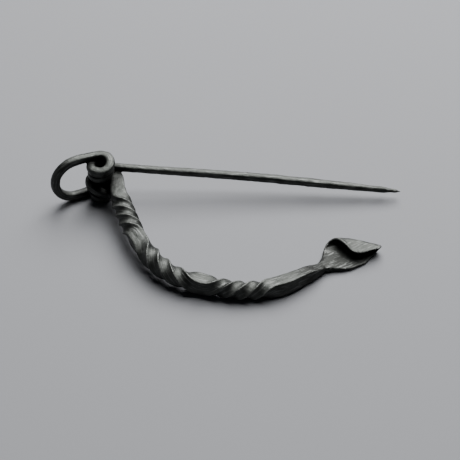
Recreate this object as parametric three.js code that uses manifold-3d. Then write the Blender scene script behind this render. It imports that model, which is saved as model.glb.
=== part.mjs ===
// Hand-forged iron fibula brooch, lying on its side. Millimetres, +Z up.
// One bar is worked into every part of it. From the foot it runs through a flat catch
// plate rolled into a trough, a bow of square bar with three turns of twist, a spring
// coil, an open loop that joins the two halves of the coil, and a long straight pin.
// The origin is under the middle of the brooch, on the surface that it lies on.

import * as THREE from 'three';
import { mergeVertices } from 'three/addons/utils/BufferGeometryUtils.js';
import Module from 'manifold-3d';

const wasm = await Module();
wasm.setup();

// Foot of the coil's axis, from the origin.
const COIL_X = -41.507;
const COIL_Y = 20.392;

// Thicknesses along the bar, from the tongue inside the catch plate to the pin's point.
const TONGUE_WIDTH = 2.2;
const TONGUE_HEIGHT = 0.8;
const NECK_WIDTH = 3.5;
const NECK_HEIGHT = 2.35;
const BAR_AT_FOOT = 3.95;
const BAR_AT_TWIST = 4.75;
const BAR = 4.5;
const BAR_SWELL = 5.0;
const BAR_UPPER = 5.2;
const BAR_AT_HEAD = 4.4;
const BAND_WIDTH = 3.3;
const BAND_HEIGHT = 4.1;
const TURN_WIDTH = 3.0;
const TURN_HEIGHT = 2.9;
const WIRE = 2.85;
const PIN = 2.4;
const PIN_WAIST = 2.6;
const PIN_NARROW = 2.0;
const PIN_END = 1.2;
const PIN_POINT = 0.3;

// The twist: three turns of alternate hand along the bow, with smooth lengths between.
// Distances run from the neck towards the coil, and angles are degrees.
const FOOT_ROLL = 9;
const TWISTS = [
  { from: 18.5, to: 40.5, turn: -364 },
  { from: 41, to: 66.2, turn: 342 },
  { from: 68.5, to: 87, turn: -354 },
];
const TWIST_EASE = 0.2;

// Inside the coil the bar settles so that its sides are level: its share of the way at each
// cut, and the steepest rise at which it still settles. Its turns are pressed half round.
const SETTLE = 0.45;
const SETTLE_RISE = 0.5;
const TURN_ROUND = 0.65;

// Coil: two close turns below the loop and two above it. Radii and heights are those of the
// wire's middle, evenly spaced round each pair of turns.
const COIL_FOOT_X = 0.9;
const COIL_LEAN = 0.05;
const LOOP_ANGLE = 116;
const LOWER_START = 8;
const LOWER_SWEEP = 720 + LOOP_ANGLE - LOWER_START;
const LOWER_HEIGHTS = [
  6.9, 6.8, 6.7, 6.9, 6.9, 6.5, 5.0, 3.9, 3.6, 3.7, 3.8, 3.7, 3.3, 2.6, 1.9, 1.52, 1.5, 1.5, 1.5,
];
const LOWER_RADII = [
  5.05, 4, 3.2, 3.15, 3.4, 3.4, 3.3, 3.3, 3.3, 3.2, 3.05, 2.9, 2.6, 2.5, 2.5, 2.35, 2.4, 2.8, 3.05,
];
const UPPER_SWEEP = 630 + LOOP_ANGLE;
const UPPER_HEIGHTS = [15.4, 15.2, 14.1, 13.6, 12.9, 12.0, 11.0, 10.5, 10.3];
const UPPER_RADII = [3.05, 3.05, 3.6, 2.95, 3.0, 2.95, 2.75, 2.55, 3.8];
const LOWER_POINTS = 24;
const UPPER_POINTS = 23;

// Loop: a half ring that stands nearly upright beside the coil.
const LOOP_RADIUS = 7.3;
const LOOP_REACH = 6.6;
const LOOP_TOP = 16.0;
const LOOP_TURN = 207;

// Pin: its point, the length that tapers, and how far its middle bows out.
const PIN_TIP = new THREE.Vector3(97.3, -0.2, 2.8);
const PIN_TAPER = 18;
const PIN_BEND = 0.8;

// Bow: the middle of the bar, from the neck to the coil, from the foot of the coil's axis.
const BOW = [
  [71.6, -32.0, 1.4],
  [64.6, -37.1, 2.6],
  [58.4, -40.8, 2.7],
  [52.4, -42.7, 2.87],
  [46.2, -43.3, 3.0],
  [39.5, -42.4, 3.2],
  [32.8, -40.8, 3.6],
  [27.0, -38.8, 4.0],
  [20.6, -34.0, 4.75],
  [14.1, -24.0, 5.6],
  [9.2, -11.9, 6.4],
  [7.05, -5.1, 6.9],
];

// Distance between cuts through the bar.
const STEP_BOW = 0.8;
const STEP_COIL = 0.95;
const STEP_PIN = 4;
const STEP_POINT = 2;

const UP = new THREE.Vector3(0, 0, 1);
const radians = THREE.MathUtils.degToRad;
const mix = THREE.MathUtils.lerp;

// A ramp from 0 to 1 that starts and stops gently.
function softRamp(t, ease) {
  if (t <= 0) return 0;
  if (t >= 1) return 1;
  const end = 2 * ease * (1 - ease);
  if (t < ease) return (t * t) / end;
  if (t > 1 - ease) return 1 - ((1 - t) * (1 - t)) / end;
  return (t - ease / 2) / (1 - ease);
}

// A point beside the coil's leaning axis.
function besideAxis(angle, radius, height) {
  const x = COIL_FOOT_X + COIL_LEAN * height + radius * Math.cos(radians(angle));
  return new THREE.Vector3(x, radius * Math.sin(radians(angle)), height);
}

// The value at t, from 0 to 1, along evenly spaced ones.
function valueAt(values, t) {
  const place = Math.min(Math.max(t, 0), 1) * (values.length - 1);
  const before = Math.min(Math.floor(place), values.length - 2);
  return mix(values[before], values[before + 1], place - before);
}

// Lower half of the coil: the bar comes in along one side and winds down to the floor.
function lowerCoil() {
  const points = [];
  for (let i = 0; i <= LOWER_POINTS; i += 1) {
    const t = i / LOWER_POINTS;
    const angle = LOWER_START + LOWER_SWEEP * t;
    points.push(besideAxis(angle, valueAt(LOWER_RADII, t), valueAt(LOWER_HEIGHTS, t)));
  }
  return points;
}

// Upper half of the coil, wound the other way, down from the loop to the pin.
function upperCoil() {
  const points = [];
  for (let i = 0; i <= UPPER_POINTS; i += 1) {
    const t = i / UPPER_POINTS;
    const angle = LOOP_ANGLE - UPPER_SWEEP * t;
    points.push(besideAxis(angle, valueAt(UPPER_RADII, t), valueAt(UPPER_HEIGHTS, t)));
  }
  return points;
}

// The loop: out along the floor, up round a half ring, and back to the top of the coil.
function loop(start) {
  const points = [];
  const along = new THREE.Vector3(Math.cos(radians(LOOP_TURN)), Math.sin(radians(LOOP_TURN)), 0);
  const foot = start.z;
  const rise = (LOOP_TOP - foot) / 2;
  for (let angle = -90; angle <= 90; angle += 22.5) {
    const reach = LOOP_REACH + LOOP_RADIUS * Math.cos(radians(angle));
    const point = start.clone().addScaledVector(along, reach);
    point.z = foot + rise + rise * Math.sin(radians(angle));
    points.push(point);
  }
  return points;
}

function pinPoints(root) {
  const middle = root.clone().lerp(PIN_TIP, 0.5);
  middle.y += PIN_BEND;
  return [root.clone().lerp(PIN_TIP, 0.08), middle, PIN_TIP];
}

// The whole middle line, and how far along it each part starts.
const bowPoints = BOW.map(([x, y, z]) => new THREE.Vector3(x, y, z));
const lower = lowerCoil();
const upper = upperCoil();
const ring = loop(lower[lower.length - 1]);
const line = [...bowPoints, ...lower, ...ring, ...upper, ...pinPoints(upper[upper.length - 1])];
const curve = new THREE.CatmullRomCurve3(line, false, 'centripetal');
curve.arcLengthDivisions = 4000;
const total = curve.getLength();

// Distance along the line at which one of its points lies.
function distanceOf(index) {
  const lengths = curve.getLengths();
  return lengths[Math.round((index / (line.length - 1)) * (lengths.length - 1))];
}
const headAt = distanceOf(bowPoints.length);
const loopAt = distanceOf(bowPoints.length + lower.length - 1);
const upperAt = distanceOf(bowPoints.length + lower.length + ring.length);
const pinAt = distanceOf(line.length - 4);

// Where the sweep is divided: less than a full turn apart.
const DIVISIONS = [headAt + 15, headAt + 30, pinAt - 24, pinAt - 7];

// Width, height and roundness (0 square, 1 round) of the section along the line.
const sections = [
  { at: 0, width: TONGUE_WIDTH, height: TONGUE_HEIGHT, round: 0.1 },
  { at: 2.4, width: NECK_WIDTH, height: NECK_HEIGHT, round: 0.1 },
  { at: 7.5, width: BAR_AT_FOOT, height: BAR_AT_FOOT, round: 0 },
  { at: 16, width: BAR_AT_TWIST, height: BAR_AT_TWIST, round: 0 },
  { at: 24, width: BAR, height: BAR, round: 0 },
  { at: 34, width: BAR, height: BAR, round: 0 },
  { at: 42, width: BAR_SWELL, height: BAR_SWELL, round: 0 },
  { at: 48, width: BAR_AT_TWIST, height: BAR_AT_TWIST, round: 0 },
  { at: 58, width: BAR_UPPER, height: BAR_UPPER, round: 0 },
  { at: headAt - 10, width: BAR_UPPER, height: BAR_UPPER, round: 0 },
  { at: headAt, width: BAR_AT_HEAD, height: BAR_AT_HEAD, round: 0.15 },
  { at: headAt + 10, width: BAND_WIDTH, height: BAND_HEIGHT, round: TURN_ROUND },
  { at: headAt + 17, width: TURN_WIDTH, height: TURN_HEIGHT, round: TURN_ROUND },
  { at: loopAt - 6, width: TURN_WIDTH, height: TURN_HEIGHT, round: TURN_ROUND },
  { at: loopAt, width: WIRE, height: WIRE, round: TURN_ROUND },
  { at: upperAt - 2, width: WIRE, height: WIRE, round: TURN_ROUND },
  { at: upperAt + 5, width: TURN_WIDTH, height: TURN_HEIGHT, round: TURN_ROUND },
  { at: pinAt - 5, width: TURN_WIDTH, height: TURN_HEIGHT, round: TURN_ROUND },
  { at: pinAt + 3, width: PIN, height: PIN, round: TURN_ROUND },
  { at: total - 28, width: PIN_WAIST, height: PIN_WAIST, round: TURN_ROUND },
  { at: total - PIN_TAPER, width: PIN, height: PIN, round: 0.75 },
  { at: total - 6.5, width: PIN_NARROW, height: PIN_NARROW, round: 1 },
  { at: total - 2, width: PIN_END, height: PIN_END, round: 1 },
  { at: total, width: PIN_POINT, height: PIN_POINT, round: 1 },
];

function sectionAt(distance) {
  let next = 1;
  while (next < sections.length - 1 && sections[next].at < distance) next += 1;
  const a = sections[next - 1];
  const b = sections[next];
  const t = THREE.MathUtils.smoothstep(distance, a.at, b.at);
  return {
    width: mix(a.width, b.width, t),
    height: mix(a.height, b.height, t),
    round: mix(a.round, b.round, t),
  };
}

function rollAt(distance) {
  let roll = FOOT_ROLL;
  for (const { from, to, turn } of TWISTS) {
    roll += turn * softRamp((distance - from) / (to - from), TWIST_EASE);
  }
  return radians(roll);
}

// Outline of a section: twelve points, from a square with softened corners to a circle.
const CORNER = 0.2;
function outline({ width, height, round }) {
  const points = [];
  for (let side = 0; side < 4; side += 1) {
    const quarter = [[1, 0], [1, 1 - CORNER], [1 - CORNER, 1]];
    quarter.forEach(([x, y], k) => {
      const turn = side * Math.PI / 2;
      const arc = turn + k * Math.PI / 6;
      const squareX = x * Math.cos(turn) - y * Math.sin(turn);
      const squareY = x * Math.sin(turn) + y * Math.cos(turn);
      points.push([
        mix(squareX, Math.cos(arc), round) * width / 2,
        mix(squareY, Math.sin(arc), round) * height / 2,
      ]);
    });
  }
  return points;
}

// Distances of the cuts through the bar: close on the twist and the coil, wide on the pin.
function cuts() {
  const list = [];
  let distance = 0;
  while (distance < total - 0.5) {
    list.push(distance);
    if (distance < headAt) distance += STEP_BOW;
    else if (distance < pinAt) distance += STEP_COIL;
    else if (distance < total - PIN_TAPER) distance += STEP_PIN;
    else distance += STEP_POINT;
  }
  list.push(total);
  return list;
}

// A closed solid from rings with the same number of points, with a flat cap at each end.
function skin(rings) {
  const count = rings[0].length;
  const points = rings.flat();
  const positions = points.flatMap((p) => [p.x, p.y, p.z]);
  const faces = [];
  for (let r = 0; r < rings.length - 1; r += 1) {
    for (let k = 0; k < count; k += 1) {
      const a = r * count + k;
      const b = r * count + (k + 1) % count;
      const c = a + count;
      const d = b + count;
      const rising = points[b].distanceTo(points[c]) < points[a].distanceTo(points[d]);
      if (rising) faces.push(a, b, c, b, d, c);
      else faces.push(a, b, d, a, d, c);
    }
  }
  const last = (rings.length - 1) * count;
  const cap = THREE.ShapeUtils.triangulateShape(flatten(rings[0]), []);
  const endCap = THREE.ShapeUtils.triangulateShape(flatten(rings[rings.length - 1]), []);
  for (const [a, b, c] of cap) faces.push(c, b, a);
  for (const [a, b, c] of endCap) faces.push(last + a, last + b, last + c);
  const geometry = new THREE.BufferGeometry();
  geometry.setAttribute('position', new THREE.Float32BufferAttribute(positions, 3));
  geometry.setIndex(faces);
  return geometry;
}

// A ring of points laid flat, so that its cap can be filled.
function flatten(ring) {
  const centre = ring.reduce((sum, p) => sum.add(p), new THREE.Vector3()).divideScalar(ring.length);
  const normal = new THREE.Vector3();
  ring.forEach((p, i) => {
    const a = p.clone().sub(centre);
    const b = ring[(i + 1) % ring.length].clone().sub(centre);
    normal.add(a.cross(b));
  });
  normal.normalize();
  const turn = new THREE.Quaternion().setFromUnitVectors(normal, UP);
  return ring.map((p) => {
    const q = p.clone().sub(centre).applyQuaternion(turn);
    return new THREE.Vector2(q.x, q.y);
  });
}

// The bar, wire and pin: one sweep along the middle line, as a chain of closed solids. The
// chain is divided inside the coil, where close turns press into each other.
function bar() {
  const rings = [];
  const list = cuts();
  let across = null;
  let settled = 0;
  for (const distance of list) {
    const point = curve.getPointAt(distance / total);
    const tangent = curve.getTangentAt(distance / total);
    const seed = across ?? UP.clone().cross(tangent);
    across = seed.addScaledVector(tangent, -seed.dot(tangent)).normalize().clone();
    const up = tangent.clone().cross(across);
    const roll = rollAt(distance) + settled;
    const wide = across.clone().multiplyScalar(Math.cos(roll)).addScaledVector(up, Math.sin(roll));
    const high = tangent.clone().cross(wide);
    if (distance > headAt && distance < pinAt && Math.abs(tangent.z) < SETTLE_RISE) {
      const level = UP.clone().cross(tangent).normalize();
      const off = Math.atan2(wide.clone().cross(level).dot(tangent), wide.dot(level));
      settled += SETTLE * (off - Math.round(off / Math.PI) * Math.PI);
    }
    rings.push(outline(sectionAt(distance)).map(([w, h]) => (
      point.clone().addScaledVector(wide, w).addScaledVector(high, h)
    )));
  }
  const divisions = DIVISIONS.map((place) => list.findIndex((distance) => distance >= place));
  const starts = [0, ...divisions];
  const ends = [...divisions, rings.length - 1];
  return starts.map((start, i) => skin(rings.slice(start, ends[i] + 1)));
}

// Catch plate: lines across it. Each lists the near rim (x, y), the hinge where the roll
// starts (x, y), the roll's radius and angle, the free flap past the roll, the thickness,
// the height of the rim's middle, and how far the roll leans towards the free end.
const PLATE = [
  [70.2, -34.1, 68.8, -32.1, 2.6, 1, 0, 1.9, 1.9, 0],
  [72.6, -33.6, 70.9, -28.8, 2.6, 14, 0, 1.8, 1.4, 0],
  [74.3, -33.2, 72.4, -25.4, 2.15, 50, 0, 1.7, 1.05, 0],
  [76.0, -33.1, 74.4, -24.2, 1.9, 105, 0, 1.55, 0.85, 0],
  [77.6, -32.9, 76.4, -24.0, 1.85, 150, 1.4, 1.45, 0.73, 0],
  [79.3, -32.5, 79.2, -24.4, 1.8, 176, 3.7, 1.35, 0.67, 0],
  [81.1, -31.6, 81.7, -24.8, 1.72, 180, 4.0, 1.2, 0.6, 0.05],
  [82.7, -30.7, 84.3, -25.0, 1.58, 180, 3.0, 1, 0.5, 0.2],
  [83.9, -30.1, 87.6, -25.3, 1.5, 172, 0.8, 0.8, 0.5, 0.45],
];
const PLATE_RINGS = 16;
const PLATE_FLAT_CUTS = 4;
const PLATE_CURL_CUTS = 6;
const LEAST_FLAP = 0.05;

function plateRing([nearX, nearY, hingeX, hingeY, radius, curl, flap, thick, rimZ, lean]) {
  const across = new THREE.Vector3(hingeX - nearX, hingeY - nearY, 0);
  const flat = across.length();
  across.normalize();
  const rise = new THREE.Vector3(across.y * lean, -across.x * lean, 1);
  const start = new THREE.Vector3(nearX, nearY, rimZ);
  const middle = [];
  for (let i = 0; i < PLATE_FLAT_CUTS; i += 1) {
    middle.push({ along: flat * i / PLATE_FLAT_CUTS, up: 0, turn: 0 });
  }
  for (let i = 0; i <= PLATE_CURL_CUTS; i += 1) {
    const turn = radians(curl) * i / PLATE_CURL_CUTS;
    middle.push({
      along: flat + radius * Math.sin(turn),
      up: radius * (1 - Math.cos(turn)),
      turn,
    });
  }
  const end = middle[middle.length - 1];
  const reach = Math.max(flap, LEAST_FLAP);
  middle.push({
    along: end.along + reach * Math.cos(end.turn),
    up: end.up + reach * Math.sin(end.turn),
    turn: end.turn,
  });
  const side = (sign) => middle.map(({ along, up, turn }) => (
    start.clone()
      .addScaledVector(across, along - sign * Math.sin(turn) * thick / 2)
      .addScaledVector(rise, up + sign * Math.cos(turn) * thick / 2)
  ));
  return [...side(-1), ...side(1).reverse()];
}

// A value that runs smoothly through those of four neighbours, from the second to the third.
function smooth(a, b, c, d, t) {
  const slopeB = (c - a) / 2;
  const slopeC = (d - b) / 2;
  const curveTerm = (2 * t - 3) * t * t;
  return b * (1 + curveTerm) - c * curveTerm
    + slopeB * ((t - 2) * t + 1) * t + slopeC * (t - 1) * t * t;
}

// A line across the plate part-way between the listed ones.
function plateLine(place) {
  const before = Math.min(Math.floor(place), PLATE.length - 2);
  const rows = [-1, 0, 1, 2].map((k) => PLATE[Math.min(Math.max(before + k, 0), PLATE.length - 1)]);
  return PLATE[0].map((value, k) => smooth(...rows.map((row) => row[k]), place - before));
}

function plate() {
  const rings = [];
  for (let i = 0; i <= PLATE_RINGS; i += 1) {
    rings.push(plateRing(plateLine(i * (PLATE.length - 1) / PLATE_RINGS)));
  }
  return skin(rings);
}

// A closed three.js mesh as a manifold solid, and back again.
function solid(geometry) {
  const merged = mergeVertices(geometry, 1e-4);
  const vertProperties = Float32Array.from(merged.attributes.position.array);
  const triVerts = Uint32Array.from(merged.index.array);
  return new wasm.Manifold(new wasm.Mesh({ numProp: 3, vertProperties, triVerts }));
}

function fromSolid(manifold) {
  const mesh = manifold.getMesh();
  const geometry = new THREE.BufferGeometry();
  geometry.setAttribute('position', new THREE.BufferAttribute(mesh.vertProperties, 3));
  geometry.setIndex(new THREE.BufferAttribute(mesh.triVerts, 1));
  return geometry;
}

const iron = new THREE.MeshStandardMaterial({ color: 0x23252a, roughness: 0.5, metalness: 0.85 });
const pieces = [...bar(), plate()].map(solid);
const brooch = new THREE.Mesh(fromSolid(wasm.Manifold.union(pieces)), iron);
brooch.name = 'brooch';
brooch.position.set(COIL_X, COIL_Y, 0);

const group = new THREE.Group();
group.add(brooch);
export default group;
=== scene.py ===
# A hand-forged iron fibula brooch, lying on its side. Metres, +Z up.
# One bar makes all of it: a catch plate, a bow with three lengths of twist, a spring coil
# with an open loop, and a long pin. The origin is under its middle, on the surface.

import math

import bmesh
import bpy
import numpy as np
from mathutils import Matrix, Vector
from mathutils.bvhtree import BVHTree
from mathutils.kdtree import KDTree


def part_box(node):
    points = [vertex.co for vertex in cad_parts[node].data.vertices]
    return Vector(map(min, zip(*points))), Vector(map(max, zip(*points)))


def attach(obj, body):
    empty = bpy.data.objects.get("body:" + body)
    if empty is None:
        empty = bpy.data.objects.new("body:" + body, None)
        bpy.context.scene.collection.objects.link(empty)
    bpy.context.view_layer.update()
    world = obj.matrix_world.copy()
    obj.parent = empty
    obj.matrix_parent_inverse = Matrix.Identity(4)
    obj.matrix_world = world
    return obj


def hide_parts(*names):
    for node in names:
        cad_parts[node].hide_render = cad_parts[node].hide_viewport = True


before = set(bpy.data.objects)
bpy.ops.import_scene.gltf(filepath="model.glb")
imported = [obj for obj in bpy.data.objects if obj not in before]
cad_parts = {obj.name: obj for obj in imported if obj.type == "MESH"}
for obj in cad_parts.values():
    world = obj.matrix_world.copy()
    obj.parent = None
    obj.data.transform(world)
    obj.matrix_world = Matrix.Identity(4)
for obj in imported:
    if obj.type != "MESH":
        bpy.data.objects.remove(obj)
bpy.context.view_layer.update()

# The bar's route. A smith draws one bar out and bends it cold along this line: from the
# neck beside the catch plate, round the bow, down the coil's two lower turns to the floor,
# up round the loop, down the coil's two upper turns, and straight out as the pin.
MM = 0.001
FOOT_FROM_LEFT = 14.3 * MM
FOOT_FROM_BACK = 5.401 * MM
low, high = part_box("brooch")
COIL_FOOT = Vector((low.x + FOOT_FROM_LEFT, high.y - FOOT_FROM_BACK, 0.0))

# Points along the bow in millimetres from the coil's foot. Angles are in degrees.
BOW_ROUTE = [
    (71.6, -32.0, 1.4),
    (64.6, -37.1, 2.6),
    (58.4, -40.8, 2.7),
    (52.4, -42.7, 2.87),
    (46.2, -43.3, 3.0),
    (39.5, -42.4, 3.2),
    (32.8, -40.8, 3.6),
    (27.0, -38.8, 4.0),
    (20.6, -34.0, 4.75),
    (14.1, -24.0, 5.6),
    (9.2, -11.9, 6.4),
    (7.05, -5.1, 6.9),
]
COIL_AXIS_X = 0.9
COIL_LEAN = 0.05
LOOP_ANGLE = 116
LOWER_START = 8
LOWER_SWEEP = 720 + LOOP_ANGLE - LOWER_START
LOWER_POINTS = 24
LOWER_HEIGHTS = [
    6.9, 6.8, 6.7, 6.9, 6.9, 6.5, 5.0, 3.9, 3.6, 3.7,
    3.8, 3.7, 3.3, 2.6, 1.9, 1.52, 1.5, 1.5, 1.5,
]
LOWER_RADII = [
    5.05, 4, 3.2, 3.15, 3.4, 3.4, 3.3, 3.3, 3.3, 3.2,
    3.05, 2.9, 2.6, 2.5, 2.5, 2.35, 2.4, 2.8, 3.05,
]
UPPER_SWEEP = 630 + LOOP_ANGLE
UPPER_POINTS = 23
UPPER_HEIGHTS = [15.4, 15.2, 14.1, 13.6, 12.9, 12.0, 11.0, 10.5, 10.3]
UPPER_RADII = [3.05, 3.05, 3.6, 2.95, 3.0, 2.95, 2.75, 2.55, 3.8]
LOOP_RADIUS = 7.3
LOOP_REACH = 6.6
LOOP_TOP = 16.0
LOOP_TURN = math.radians(207)
LOOP_STEPS = 8
PIN_TIP = (97.3, -0.2, 2.8)
PIN_BEND = 0.8
PIN_STARTS = 0.08


def value_at(values, t):
    """The value at t, from 0 to 1, along evenly spaced ones."""
    spot = t * (len(values) - 1)
    before = min(int(spot), len(values) - 2)
    return values[before] + (values[before + 1] - values[before]) * (spot - before)


def beside_axis(angle, radius, height):
    """A point beside the coil's leaning axis."""
    turn = math.radians(angle)
    x = COIL_AXIS_X + COIL_LEAN * height + radius * math.cos(turn)
    return Vector((x, radius * math.sin(turn), height))


def smooth_line(points, cuts):
    """A line through all the points that doesn't overshoot where they are unevenly spaced."""
    points = [2 * points[0] - points[1], *points, 2 * points[-1] - points[-2]]
    line = []
    for a, b, c, d in zip(points, points[1:], points[2:], points[3:]):
        ab, bc, cd = (math.sqrt((q - p).length) for p, q in ((a, b), (b, c), (c, d)))
        leave = ((b - a) / ab - (c - a) / (ab + bc) + (c - b) / bc) * bc
        arrive = ((c - b) / bc - (d - b) / (bc + cd) + (d - c) / cd) * bc
        for t in (i / cuts for i in range(cuts)):
            line.append(
                b * (2 * t**3 - 3 * t**2 + 1) + leave * (t**3 - 2 * t**2 + t)
                + c * (3 * t**2 - 2 * t**3) + arrive * (t**3 - t**2)
            )
    return line + [points[-2]]


bow_points = [Vector(p) for p in BOW_ROUTE]
lower_points = [
    beside_axis(
        LOWER_START + LOWER_SWEEP * t, value_at(LOWER_RADII, t), value_at(LOWER_HEIGHTS, t)
    )
    for t in (i / LOWER_POINTS for i in range(LOWER_POINTS + 1))
]
loop_foot = lower_points[-1]
loop_out = Vector((math.cos(LOOP_TURN), math.sin(LOOP_TURN), 0))
loop_rise = (LOOP_TOP - loop_foot.z) / 2
loop_points = []
for step in range(LOOP_STEPS + 1):
    turn = math.radians(-90 + 180 * step / LOOP_STEPS)
    reach = loop_out * (LOOP_REACH + LOOP_RADIUS * math.cos(turn))
    loop_points.append(loop_foot + reach + Vector((0, 0, loop_rise * (1 + math.sin(turn)))))
upper_points = [
    beside_axis(LOOP_ANGLE - UPPER_SWEEP * t, value_at(UPPER_RADII, t), value_at(UPPER_HEIGHTS, t))
    for t in (i / UPPER_POINTS for i in range(UPPER_POINTS + 1))
]
pin_root = upper_points[-1]
pin_tip = Vector(PIN_TIP)
pin_middle = pin_root.lerp(pin_tip, 0.5) + Vector((0, PIN_BEND, 0))
pin_points = [pin_root.lerp(pin_tip, PIN_STARTS), pin_middle, pin_tip]

CUTS = 40
route = smooth_line(bow_points + lower_points + loop_points + upper_points + pin_points, CUTS)
lengths = [0.0]
for a, b in zip(route, route[1:]):
    lengths.append(lengths[-1] + (b - a).length)
whole_length = lengths[-1]
head_at = lengths[len(bow_points) * CUTS]
loop_at = lengths[(len(bow_points) + len(lower_points) - 1) * CUTS]
upper_at = lengths[(len(bow_points) + len(lower_points) + len(loop_points)) * CUTS]
pin_at = lengths[-len(pin_points) * CUTS - 1]


def on_route(distance):
    """The point on the route at a distance from the neck, in millimetres."""
    after = next((i for i, so_far in enumerate(lengths) if so_far >= distance), len(lengths) - 1)
    after = max(after, 1)
    share = (distance - lengths[after - 1]) / (lengths[after] - lengths[after - 1])
    return route[after - 1].lerp(route[after], min(share, 1.0))


# The bow. Square iron bar, heated and twisted in a vice in three lengths of alternate
# hand, with plain lengths left between them. Its corners are softened by the hammer.
TONGUE_WIDTH = 2.2
TONGUE_HEIGHT = 0.8
NECK_WIDTH = 3.5
NECK_HEIGHT = 2.35
BAR_AT_FOOT = 3.95
BAR_AT_TWIST = 4.75
BAR = 4.5
BAR_SWELL = 5.0
BAR_UPPER = 5.2
BAR_AT_HEAD = 4.4
TONGUE_ROUND = 0.1
HEAD_ROUND = 0.15
CORNER = 0.26
CORNER_STEPS = 3
SIDE_CUTS = 4
# Each twist: where it starts and ends along the bar, and how far it turns.
TWISTS = [(18.5, 40.5, -364), (41, 66.2, 342), (68.5, 87, -354)]
TWIST_EASE = 0.2
FOOT_ROLL = 9
SLOPE_REACH = 0.05
# Inside the coil the bar's sides settle level: the share at each step, and the steepest rise.
SETTLE = 0.3
SETTLE_RISE = 0.5
BAND_WIDTH = 3.3
BAND_HEIGHT = 4.1
TURN_WIDTH = 3.0
TURN_HEIGHT = 2.9
TURN_ROUND = 0.65
WIRE = 2.85
PIN = 2.4
PIN_WAIST = 2.6
PIN_NARROW = 2.0
PIN_END = 1.2
PIN_POINT = 0.35
PIN_TAPER = 18
TAPER_ROUND = 0.75
# Distance from the neck, width, height, and how round the bar is there.
SECTIONS = [
    (0, TONGUE_WIDTH, TONGUE_HEIGHT, TONGUE_ROUND),
    (2.4, NECK_WIDTH, NECK_HEIGHT, TONGUE_ROUND),
    (7.5, BAR_AT_FOOT, BAR_AT_FOOT, 0),
    (16, BAR_AT_TWIST, BAR_AT_TWIST, 0),
    (24, BAR, BAR, 0),
    (34, BAR, BAR, 0),
    (42, BAR_SWELL, BAR_SWELL, 0),
    (48, BAR_AT_TWIST, BAR_AT_TWIST, 0),
    (58, BAR_UPPER, BAR_UPPER, 0),
    (head_at - 10, BAR_UPPER, BAR_UPPER, 0),
    (head_at, BAR_AT_HEAD, BAR_AT_HEAD, HEAD_ROUND),
    (head_at + 10, BAND_WIDTH, BAND_HEIGHT, TURN_ROUND),
    (head_at + 17, TURN_WIDTH, TURN_HEIGHT, TURN_ROUND),
    (loop_at - 6, TURN_WIDTH, TURN_HEIGHT, TURN_ROUND),
    (loop_at, WIRE, WIRE, TURN_ROUND),
    (upper_at - 2, WIRE, WIRE, TURN_ROUND),
    (upper_at + 5, TURN_WIDTH, TURN_HEIGHT, TURN_ROUND),
    (pin_at - 5, TURN_WIDTH, TURN_HEIGHT, TURN_ROUND),
    (pin_at + 3, PIN, PIN, TURN_ROUND),
    (whole_length - 28, PIN_WAIST, PIN_WAIST, TURN_ROUND),
    (whole_length - PIN_TAPER, PIN, PIN, TAPER_ROUND),
    (whole_length - 6.5, PIN_NARROW, PIN_NARROW, 1),
    (whole_length - 2, PIN_END, PIN_END, 1),
    (whole_length, PIN_POINT, PIN_POINT, 1),
]


def ease(t):
    """A share from 0 to 1 that starts and stops gently."""
    t = min(max(t, 0.0), 1.0)
    return t * t * (3 - 2 * t)


def twist_share(t):
    """How much of a length of twist is done, with a soft start and a soft end."""
    if t <= 0 or t >= 1:
        return min(max(t, 0.0), 1.0)
    ends = 2 * TWIST_EASE * (1 - TWIST_EASE)
    if t < TWIST_EASE:
        return t * t / ends
    if t > 1 - TWIST_EASE:
        return 1 - (1 - t) ** 2 / ends
    return (t - TWIST_EASE / 2) / (1 - TWIST_EASE)


def section_at(distance):
    """Width, height and roundness of the bar at a distance from the neck."""
    after = next((i for i, s in enumerate(SECTIONS) if s[0] >= distance), len(SECTIONS) - 1)
    after = max(after, 1)
    a, b = SECTIONS[after - 1], SECTIONS[after]
    share = ease((distance - a[0]) / (b[0] - a[0]))
    return [p + (q - p) * share for p, q in zip(a[1:], b[1:])]


def axes_at(distance, across, settled):
    """Axes of the bar there as columns: its width, its height and the way it runs."""
    ahead = on_route(min(distance + SLOPE_REACH, whole_length))
    along = (ahead - on_route(max(distance - SLOPE_REACH, 0))).normalized()
    across = (across - along * across.dot(along)).normalized()
    roll = FOOT_ROLL + settled
    for start, end, turn in TWISTS:
        roll += turn * twist_share((distance - start) / (end - start))
    wide = Matrix.Rotation(math.radians(roll), 3, along) @ across
    return Matrix((wide, along.cross(wide), along)).transposed(), across


# The neck's end of the bar is a square ring with soft corners, filled with one face.
FIRST_LOOK = 0.1
bpy.ops.object.select_all(action="DESELECT")
axes, across = axes_at(0, Vector((0, 0, 1)).cross(on_route(FIRST_LOOK) - on_route(0)), 0)
width, height, _ = section_at(0)
neck = COIL_FOOT + on_route(0) * MM
bpy.ops.mesh.primitive_circle_add(
    vertices=4,
    radius=BAR * MM / math.sqrt(2),
    fill_type="NOTHING",
    location=neck,
    rotation=(axes @ Matrix.Rotation(math.radians(45), 3, "Z")).to_euler(),
)
brooch = bpy.context.object
brooch.name = "forged_brooch"
bpy.ops.object.transform_apply(location=True, rotation=True, scale=True)
bpy.ops.object.mode_set(mode="EDIT")
bpy.ops.mesh.select_all(action="SELECT")
bpy.ops.mesh.bevel(affect="VERTICES", offset=CORNER * MM, segments=CORNER_STEPS)
bpy.ops.mesh.select_mode(type="EDGE")
for edge in bmesh.from_edit_mesh(brooch.data).edges:
    edge.select_set(edge.calc_length() > CORNER * MM * 2)
bpy.ops.mesh.subdivide(number_cuts=SIDE_CUTS)
bpy.ops.mesh.select_all(action="SELECT")
bpy.ops.mesh.edge_face_add()
ring = [v.co - neck for v in bmesh.from_edit_mesh(brooch.data).verts]
FULLNESS = sum(v.length for v in ring) / len(ring) / (BAR * MM / 2)


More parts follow.
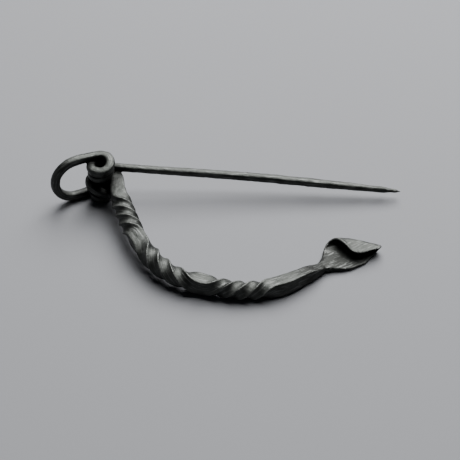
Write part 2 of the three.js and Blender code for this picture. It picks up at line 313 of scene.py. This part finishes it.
def stretch(wide, high, axes, centre):
    """Scale the selected end of the bar across its width and its height."""
    bpy.ops.transform.resize(
        value=(wide, high, 1),
        orient_type="GLOBAL",
        orient_matrix=axes,
        orient_matrix_type="GLOBAL",
        center_override=centre,
    )


def fill_out(roundness):
    """How far a ring stands out from its nominal half width once it is partly rounded."""
    return 1 + (FULLNESS - 1) * roundness


# Lengths, turns and roundings smaller than these are left out, and nothing is divided by 0.
LEAST_LENGTH = 1e-6
LEAST_TURN = 1e-7
LEAST_ROUNDING = 1e-4
NEVER_ZERO = 1e-9
bar_end = {"at": 0, "axes": axes, "across": across, "centre": neck, "round": 0.0, "settled": 0}
bar_end["size"] = (width, height)
cuts = [(neck, axes)]
stretch(width / BAR, height / BAR, axes, neck)


def draw_out(reach, step):
    """Extrude the end of the bar along its route, turning and shaping it at each step."""
    while bar_end["at"] < reach - LEAST_LENGTH:
        distance = min(bar_end["at"] + step, reach)
        centre = COIL_FOOT + on_route(distance) * MM
        bpy.ops.mesh.extrude_region_move(
            TRANSFORM_OT_translate={"value": centre - bar_end["centre"]}
        )
        axes, across = axes_at(distance, bar_end["across"], bar_end["settled"])
        along = axes.col[2]
        if head_at < distance < pin_at and abs(along.z) < SETTLE_RISE:
            level = Vector((0, 0, 1)).cross(along)
            off = math.atan2(axes.col[0].cross(level).dot(along), axes.col[0].dot(level))
            bar_end["settled"] += SETTLE * (math.degrees(off) - 180 * round(off / math.pi))
        axis, turn = (axes @ bar_end["axes"].inverted()).to_quaternion().to_axis_angle()
        if turn > LEAST_TURN:
            bpy.ops.transform.rotate(
                value=turn,
                orient_axis="Z",
                orient_type="GLOBAL",
                orient_matrix=axis.to_track_quat("Z", "Y").to_matrix(),
                orient_matrix_type="GLOBAL",
                constraint_axis=(False, False, True),
                center_override=centre,
            )
        old_wide, old_high = bar_end["size"]
        width, height, roundness = section_at(distance)
        rounder = roundness - bar_end["round"]
        if rounder > LEAST_ROUNDING:
            stretch(BAR / old_wide, BAR / old_high, axes, centre)
            bpy.ops.transform.tosphere(value=rounder / (1 - bar_end["round"] + NEVER_ZERO))
            bar_end["round"] = roundness
            old_wide = old_high = BAR
        wide = width / fill_out(bar_end["round"])
        high = height / fill_out(bar_end["round"])
        stretch(wide / old_wide, high / old_high, axes, centre)
        bar_end.update(at=distance, axes=axes, across=across, centre=centre)
        bar_end["size"] = (wide, high)
        cuts.append((centre, axes))


BOW_STEP = 0.5
bpy.ops.mesh.select_mode(type="FACE")
draw_out(head_at, BOW_STEP)

# The coil and the loop. The square bar is hammered nearly round as it comes into the coil,
# wound twice down to the floor, bent up into a half ring, and wound twice on its way down
# from the top.
COIL_STEP = 0.6
draw_out(pin_at, COIL_STEP)

# The pin. Drawn out straight with its corners knocked off, a little thicker in its last
# third, then filed to a round point that lies under the catch when the brooch is closed.
PIN_STEP = 2.0
POINT_STEP = 0.8
draw_out(whole_length - PIN_TAPER, PIN_STEP)
draw_out(whole_length, POINT_STEP)
bpy.ops.mesh.select_all(action="SELECT")
bpy.ops.mesh.normals_make_consistent(inside=False)
bpy.ops.object.mode_set(mode="OBJECT")

# The catch plate. The foot of the bar is hammered out flat, and its far side is rolled
# over into a trough with a free flap, which narrows to a point at the outer end.
PLATE_THICKEST = 2.0
FLAP_TAPER = 0.55
FLAP_TAPER_FROM = 0.6
LEAST_CURL = 0.5
LEAST_FLAP = 0.05
PLATE_LINES = 41
PLATE_STEPS = 49
# Each line across it: near rim x, y; hinge x, y; radius and angle of the roll; flap;
# thickness; height of the rim's middle; how far the roll leans to the outer end.
PLATE = [
    (70.2, -34.1, 68.8, -32.1, 2.6, 1, 0, 1.9, 1.9, 0),
    (72.6, -33.6, 70.9, -28.8, 2.6, 14, 0, 1.8, 1.4, 0),
    (74.3, -33.2, 72.4, -25.4, 2.15, 50, 0, 1.7, 1.05, 0),
    (76.0, -33.1, 74.4, -24.2, 1.9, 105, 0, 1.55, 0.85, 0),
    (77.6, -32.9, 76.4, -24.0, 1.85, 150, 1.4, 1.45, 0.73, 0),
    (79.3, -32.5, 79.2, -24.4, 1.8, 176, 3.7, 1.35, 0.67, 0),
    (81.1, -31.6, 81.7, -24.8, 1.72, 180, 4.0, 1.2, 0.6, 0.05),
    (82.7, -30.7, 84.3, -25.0, 1.58, 180, 3.0, 1.0, 0.5, 0.2),
    (83.9, -30.1, 87.6, -25.3, 1.5, 172, 0.8, 0.8, 0.5, 0.45),
]


def plate_line(spot):
    """A line across the plate part-way between the listed ones."""
    before = min(int(spot), len(PLATE) - 2)
    t = spot - before
    rows = [PLATE[min(max(before + k, 0), len(PLATE) - 1)] for k in (-1, 0, 1, 2)]
    return [
        b * (2 * t**3 - 3 * t**2 + 1) + (c - a) / 2 * (t**3 - 2 * t**2 + t)
        + c * (3 * t**2 - 2 * t**3) + (d - b) / 2 * (t**3 - t**2)
        for a, b, c, d in zip(*rows)
    ]


def plate_point(spot, share):
    """A point of the plate's middle surface, and the thickness there."""
    near_x, near_y, hinge_x, hinge_y, radius, curl, flap, thick, rim, lean = plate_line(spot)
    across = Vector((hinge_x - near_x, hinge_y - near_y, 0))
    flat = across.length
    across.normalize()
    curl = math.radians(max(curl, LEAST_CURL))
    flap = max(flap, LEAST_FLAP)
    reach = share * (flat + radius * curl + flap)
    turn = min(max((reach - flat) / radius, 0), curl)
    past = max(reach - flat - radius * curl, 0)
    along = min(reach, flat) + radius * math.sin(turn) + past * math.cos(turn)
    up = radius * (1 - math.cos(turn)) + past * math.sin(turn)
    rise = Vector((across.y * lean, -across.x * lean, 1))
    thin = 1 - FLAP_TAPER * ease((share - FLAP_TAPER_FROM) / (1 - FLAP_TAPER_FROM))
    return Vector((near_x, near_y, rim)) + across * along + rise * up, thick * thin


bpy.ops.object.select_all(action="DESELECT")
bpy.ops.mesh.primitive_grid_add(
    x_subdivisions=PLATE_LINES - 1, y_subdivisions=PLATE_STEPS - 1, size=1
)
plate = bpy.context.object
thickness = plate.vertex_groups.new(name="thickness")
for vertex in plate.data.vertices:
    spot = (vertex.co.x + 0.5) * (len(PLATE) - 1)
    point, thick = plate_point(min(spot, len(PLATE) - 1), vertex.co.y + 0.5)
    vertex.co = COIL_FOOT + point * MM
    thickness.add([vertex.index], thick / PLATE_THICKEST, "REPLACE")
walls = plate.modifiers.new("hammered thickness", "SOLIDIFY")
walls.thickness = PLATE_THICKEST * MM
walls.offset = 0
walls.vertex_group = "thickness"
bpy.ops.object.modifier_apply(modifier=walls.name)

# One forging. Plate and bar are the same iron, so they are joined into one skin, smoothed
# as by the file and the wire brush, and dimpled all over by the hammer.
SKIN_GRAIN = 0.24 * MM
NECK_REACH = 5 * MM
NECK_STEEPNESS = 1.5
NECK_PASSES = 13
BRUSH_PASSES = 2
BRUSH_FORCE = 0.5
# Each pattern: name, how wide its marks are, and how deep.
MARKS = [("hammer marks", 2.8 * MM, 0.28 * MM), ("forge scale", 0.8 * MM, 0.08 * MM)]
bpy.ops.object.select_all(action="DESELECT")
plate.select_set(True)
brooch.select_set(True)
bpy.context.view_layer.objects.active = brooch
bpy.ops.object.join()
weld = brooch.modifiers.new("weld", "REMESH")
weld.mode = "VOXEL"
weld.voxel_size = SKIN_GRAIN
bpy.ops.object.modifier_apply(modifier=weld.name)
neck_blend = brooch.vertex_groups.new(name="neck")
for vertex in brooch.data.vertices:
    share = 1 - (vertex.co - neck).length / NECK_REACH
    if share > 0:
        neck_blend.add([vertex.index], ease(share * NECK_STEEPNESS), "REPLACE")
for name, group, passes in (
    ("drawn neck", "neck", NECK_PASSES), ("wire brush", "", BRUSH_PASSES)
):
    brush = brooch.modifiers.new(name, "SMOOTH")
    brush.factor = BRUSH_FORCE
    brush.iterations = passes
    brush.vertex_group = group
    bpy.ops.object.modifier_apply(modifier=brush.name)
for name, size, depth in MARKS:
    pattern = bpy.data.textures.new(name, "CLOUDS")
    pattern.noise_scale = size
    dimples = brooch.modifiers.new(name, "DISPLACE")
    dimples.texture = pattern
    dimples.texture_coords = "LOCAL"
    dimples.strength = depth
    bpy.ops.object.modifier_apply(modifier=dimples.name)
bpy.ops.object.shade_smooth()
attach(brooch, "root")
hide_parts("brooch")

# The finish. Iron blackened in oil and rubbed with wax: greyer where the edges have been handled,
# with long fine scratches where it was drawn and brushed. Painted shade makes it near black
# in its hollows, in its creases and on its foot.
skin = brooch.data

# Each point of the skin is given its place along the bar and across it, in millimetres, so
# that the scratches follow the bar round every bend and twist.
finder = KDTree(len(cuts))
for i, (centre, _) in enumerate(cuts):
    finder.insert(centre, i)
finder.balance()
cut_at = [0.0]
for (a, _), (b, _) in zip(cuts, cuts[1:]):
    cut_at.append(cut_at[-1] + (b - a).length / MM)
along_bar = np.zeros((len(skin.vertices), 3), dtype=np.float32)
for vertex in skin.vertices:
    _, near, _ = finder.find(vertex.co)
    centre, axes = cuts[near]
    here = axes.transposed() @ (vertex.co - centre) / MM
    beyond = min(max(near + (1 if here.z > 0 else -1), 0), len(cuts) - 1)
    step = abs(cut_at[beyond] - cut_at[near])
    share = min(abs(here.z) / step, 1) if step > 0 else 0
    other = cuts[beyond][1].transposed() @ (vertex.co - cuts[beyond][0]) / MM
    place = here.lerp(other, share)
    along_bar[vertex.index] = (cut_at[near] + here.z, place.x, place.y)
skin.attributes.new("along_bar", "FLOAT_VECTOR", "POINT").data.foreach_set(
    "vector", along_bar.ravel()
)

# Wear is found from how sharply the skin bends outwards, and painted shade in the creases from how
# it bends in.
BEND_ROUNDS = 3
points = np.empty(len(skin.vertices) * 3)
normals = np.empty(len(skin.vertices) * 3)
pairs = np.empty(len(skin.edges) * 2, dtype=np.int64)
skin.vertices.foreach_get("co", points)
skin.vertices.foreach_get("normal", normals)
skin.edges.foreach_get("vertices", pairs)
points, normals, pairs = points.reshape(-1, 3), normals.reshape(-1, 3), pairs.reshape(-1, 2)
steps = points[pairs[:, 1]] - points[pairs[:, 0]]
steps /= np.linalg.norm(steps, axis=1)[:, None]
count = np.bincount(pairs.ravel(), minlength=len(points))
bend = np.bincount(pairs[:, 1], (normals[pairs[:, 1]] * steps).sum(1), len(points))
bend -= np.bincount(pairs[:, 0], (normals[pairs[:, 0]] * steps).sum(1), len(points))
bend /= count


def keep_on_skin(name, values, rounds):
    """Soften values over the skin's neighbouring points and store them as an attribute."""
    for _ in range(rounds):
        spread = np.bincount(pairs[:, 0], values[pairs[:, 1]], len(points))
        spread += np.bincount(pairs[:, 1], values[pairs[:, 0]], len(points))
        values = (values + spread / count) / 2
    kept = skin.attributes.new(name, "FLOAT", "POINT")
    kept.data.foreach_set("value", values.astype(np.float32))


keep_on_skin("bend", bend, BEND_ROUNDS)

# Painted shade for sheltered places, such as the trough and the inside of the coil: the share of
# short paths outwards that are blocked, which later darkens the colour there.
SHELTER_REACH = 7 * MM
SHELTER_CLEARANCE = 0.1
SHELTER_ROUNDS = 4
SIDE_WAYS = 18
# How far out and how far up the paths go: steep, middling and low ones by turns.
WAY_SLOPES = [(0.5, 0.87), (0.8, 0.6), (0.94, 0.34)]
hull = BVHTree.FromPolygons([v.co for v in skin.vertices], [p.vertices for p in skin.polygons])
ways = [Vector((0, 0, 1))]
for i in range(SIDE_WAYS):
    out, rise = WAY_SLOPES[i % len(WAY_SLOPES)]
    round_way = 2 * math.pi * i / SIDE_WAYS
    ways.append(Vector((math.cos(round_way) * out, math.sin(round_way) * out, rise)))
shelter = np.zeros(len(points))
for vertex in skin.vertices:
    outward = vertex.normal
    start = vertex.co + outward * SHELTER_CLEARANCE * MM
    turn = outward.to_track_quat("Z", "Y")
    hits = [hull.ray_cast(start, turn @ way, SHELTER_REACH)[0] is not None for way in ways]
    shelter[vertex.index] = sum(hits) / len(ways)
keep_on_skin("shelter", shelter, SHELTER_ROUNDS)

# The iron's colours, from the painted shade on the foot and in the hollows to edges worn nearly
# bright.
# Painted shade: the dark colour laid over the foot and the trough of the catch plate.
PAINTED_FOOT_SHADE = (0.008, 0.0085, 0.0075)
# Painted shade: the near-black colour laid in creases and sheltered hollows.
PAINTED_HOLLOW_SHADE = (0.011, 0.0118, 0.0108)
DARK_IRON = (0.018, 0.02, 0.018)
GREY_IRON = (0.05, 0.053, 0.049)
SCRATCHED_IRON = (0.1, 0.104, 0.1)
WORN_IRON = (0.16, 0.165, 0.157)
# Each pair is where an effect begins and where it is full.
WORN_BEND = (0.07, 0.2)
# The next two pairs set where painted shade in creases and in sheltered places begins and is full.
CREASE_SHADE_BEND = (0.0, -0.1)
SHELTER_SHADE = (0.05, 0.32)
BLOTCHY = (0.3, 0.7)
RUBBED_BLOTCHES = (0.35, 0.6)
SCRATCH_EDGE = (0.5, 0.68)
FLAP_ALONG_BAR = (0, -3)
FLAP_HEIGHT = (2.5 * MM, 4 * MM)
FOOT_ALONG_BAR = (14, 7)
LEAST_RUBBED = 0.35
# How strongly the painted shade darkens the foot and the catch plate.
FOOT_SHADE_SHARE = 0.85
SCRATCH_SHARE = 0.7
ROUGHNESS = (0.46, 0.62)
WORN_POLISH = 0.12
METALLIC = 0.8
SCRATCH_STRETCH = (0.09, 1.0, 1.0)
RELIEF_STRENGTH = 0.5
RELIEF_DEPTH = 0.08 * MM
iron = bpy.data.materials.new("oil_blackened_iron")
iron.use_nodes = True
nodes, links = iron.node_tree.nodes, iron.node_tree.links
shader = nodes["Principled BSDF"]
shader.inputs["Metallic"].default_value = METALLIC


def noise_node(vector, scale, detail):
    """A noise texture read from a vector output."""
    texture = nodes.new("ShaderNodeTexNoise")
    texture.inputs["Scale"].default_value = scale
    texture.inputs["Detail"].default_value = detail
    links.new(vector, texture.inputs["Vector"])
    return texture.outputs["Fac"]


def ranged(value, from_low, from_high, to_low, to_high):
    """A value carried smoothly from one range to another."""
    node = nodes.new("ShaderNodeMapRange")
    node.interpolation_type = "SMOOTHSTEP"
    for name, number in (
        ("From Min", from_low), ("From Max", from_high), ("To Min", to_low), ("To Max", to_high)
    ):
        node.inputs[name].default_value = number
    links.new(value, node.inputs["Value"])
    return node.outputs["Result"]


def combined(operation, first, second):
    """Two values added, multiplied or compared."""
    node = nodes.new("ShaderNodeMath")
    node.operation = operation
    links.new(first, node.inputs[0])
    if isinstance(second, (int, float)):
        node.inputs[1].default_value = second
    else:
        links.new(second, node.inputs[1])
    return node.outputs["Value"]


def tinted(share, first, second):
    """A colour between two others."""
    node = nodes.new("ShaderNodeMix")
    node.data_type = "RGBA"
    links.new(share, node.inputs["Factor"])
    for socket, colour in ((6, first), (7, second)):
        if isinstance(colour, tuple):
            node.inputs[socket].default_value = (*colour, 1)
        else:
            links.new(colour, node.inputs[socket])
    return node.outputs[2]


object_place = nodes.new("ShaderNodeTexCoord").outputs["Object"]
bar_place = nodes.new("ShaderNodeAttribute")
bar_place.attribute_name = "along_bar"
bend_value = nodes.new("ShaderNodeAttribute")
bend_value.attribute_name = "bend"
drawn = nodes.new("ShaderNodeMapping")
drawn.inputs["Scale"].default_value = SCRATCH_STRETCH
links.new(bar_place.outputs["Vector"], drawn.inputs["Vector"])
scratches = noise_node(drawn.outputs["Vector"], scale=2.4, detail=4)
blotches = noise_node(object_place, scale=240, detail=5)
grain = noise_node(object_place, scale=1500, detail=4)

worn = combined("MULTIPLY", ranged(bend_value.outputs["Fac"], *WORN_BEND, 0, 1),
                ranged(blotches, *RUBBED_BLOTCHES, LEAST_RUBBED, 1))
shelter_value = nodes.new("ShaderNodeAttribute")
shelter_value.attribute_name = "shelter"
# Painted shade in concave creases and in sheltered places, such as the trough and the coil's
# inside.
painted_hollow_shade = combined("MAXIMUM", ranged(bend_value.outputs["Fac"], *CREASE_SHADE_BEND, 0, 1),
                  ranged(shelter_value.outputs["Fac"], *SHELTER_SHADE, 0, 1))
scored = ranged(scratches, *SCRATCH_EDGE, 0, 1)
base = tinted(ranged(blotches, *BLOTCHY, 0, 1), DARK_IRON, GREY_IRON)

# Painted shade: the foot and the catch plate are darkened, all but the top of the flap, which
# stays lighter where the light falls on it.
bar_parts = nodes.new("ShaderNodeSeparateXYZ")
links.new(bar_place.outputs["Vector"], bar_parts.inputs["Vector"])
object_parts = nodes.new("ShaderNodeSeparateXYZ")
links.new(object_place, object_parts.inputs["Vector"])
flap_top = combined("MULTIPLY", ranged(bar_parts.outputs["X"], *FLAP_ALONG_BAR, 0, 1),
                    ranged(object_parts.outputs["Z"], *FLAP_HEIGHT, 0, 1))
painted_foot_shade = combined("MULTIPLY", ranged(bar_parts.outputs["X"], *FOOT_ALONG_BAR, 0, FOOT_SHADE_SHARE),
                      ranged(flap_top, 0, 1, 1, 0))
# Painted shade on the foot and the catch plate, left off the flap's top.
base = tinted(painted_foot_shade, base, PAINTED_FOOT_SHADE)
base = tinted(combined("MULTIPLY", scored, SCRATCH_SHARE), base, SCRATCHED_IRON)
base = tinted(worn, base, WORN_IRON)
# Painted shade laid over the creases and sheltered hollows.
base = tinted(painted_hollow_shade, base, PAINTED_HOLLOW_SHADE)
links.new(base, shader.inputs["Base Color"])
roughness = combined("SUBTRACT", ranged(blotches, *BLOTCHY, *ROUGHNESS),
                     combined("MULTIPLY", worn, WORN_POLISH))
links.new(roughness, shader.inputs["Roughness"])
relief = nodes.new("ShaderNodeBump")
relief.inputs["Strength"].default_value = RELIEF_STRENGTH
relief.inputs["Distance"].default_value = RELIEF_DEPTH
links.new(combined("ADD", scratches, grain), relief.inputs["Height"])
links.new(relief.outputs["Normal"], shader.inputs["Normal"])
brooch.data.materials.clear()
brooch.data.materials.append(iron)

# The surface it lies on, the light and the camera. The floor is plain and pale. A wide
# soft lamp stands beyond the brooch, so that its tops shine and its near sides are dark.
FLOOR_SIZE = 3.0
FLOOR_COLOUR = (0.148, 0.151, 0.16, 1)
FLOOR_ROUGHNESS = 0.85
ROOM_COLOUR = (0.75, 0.8, 0.9, 1)
ROOM_STRENGTH = 0.04
# Each lamp: name, where it stands in metres, how wide it is, and its power in watts.
LAMPS = [
    ("window", (0.15, 0.6, 0.6), 0.55, 10),
    ("skylight", (0.13, 0.42, 0.74), 0.9, 24),
]
bpy.ops.object.select_all(action="DESELECT")
bpy.ops.mesh.primitive_plane_add(size=FLOOR_SIZE, location=(0, 0, 0))
floor = bpy.context.object
floor.name = "floor"
stone = bpy.data.materials.new("plain_pale_floor")
stone.use_nodes = True
stone_shader = stone.node_tree.nodes["Principled BSDF"]
stone_shader.inputs["Base Color"].default_value = FLOOR_COLOUR
stone_shader.inputs["Roughness"].default_value = FLOOR_ROUGHNESS
floor.data.materials.append(stone)

room = bpy.data.worlds.new("room")
bpy.context.scene.world = room
room.use_nodes = True
room_light = room.node_tree.nodes["Background"]
room_light.inputs["Color"].default_value = ROOM_COLOUR
room_light.inputs["Strength"].default_value = ROOM_STRENGTH

for name, place, size, power in LAMPS:
    bpy.ops.object.light_add(type="AREA", location=place)
    lamp = bpy.context.object
    lamp.name = name
    lamp.data.shape = "SQUARE"
    lamp.data.size = size
    lamp.data.energy = power
    lamp.rotation_euler = (-Vector(place)).to_track_quat("-Z", "Y").to_euler()

VIEW_DISTANCE = 0.4
VIEW_CENTRE = (42.5, -14.9, 0)
LENS = 99.4
SENSOR = 36
NEAREST_SEEN = 0.01
view_target = COIL_FOOT + Vector(VIEW_CENTRE) * MM
eye = view_target + VIEW_DISTANCE * Vector((0, -1, 1)).normalized()
bpy.ops.object.camera_add(location=eye)
camera = bpy.context.object
camera.rotation_euler = (view_target - eye).to_track_quat("-Z", "Y").to_euler()
camera.data.lens = LENS
camera.data.sensor_width = SENSOR
camera.data.clip_start = NEAREST_SEEN
bpy.context.scene.camera = camera
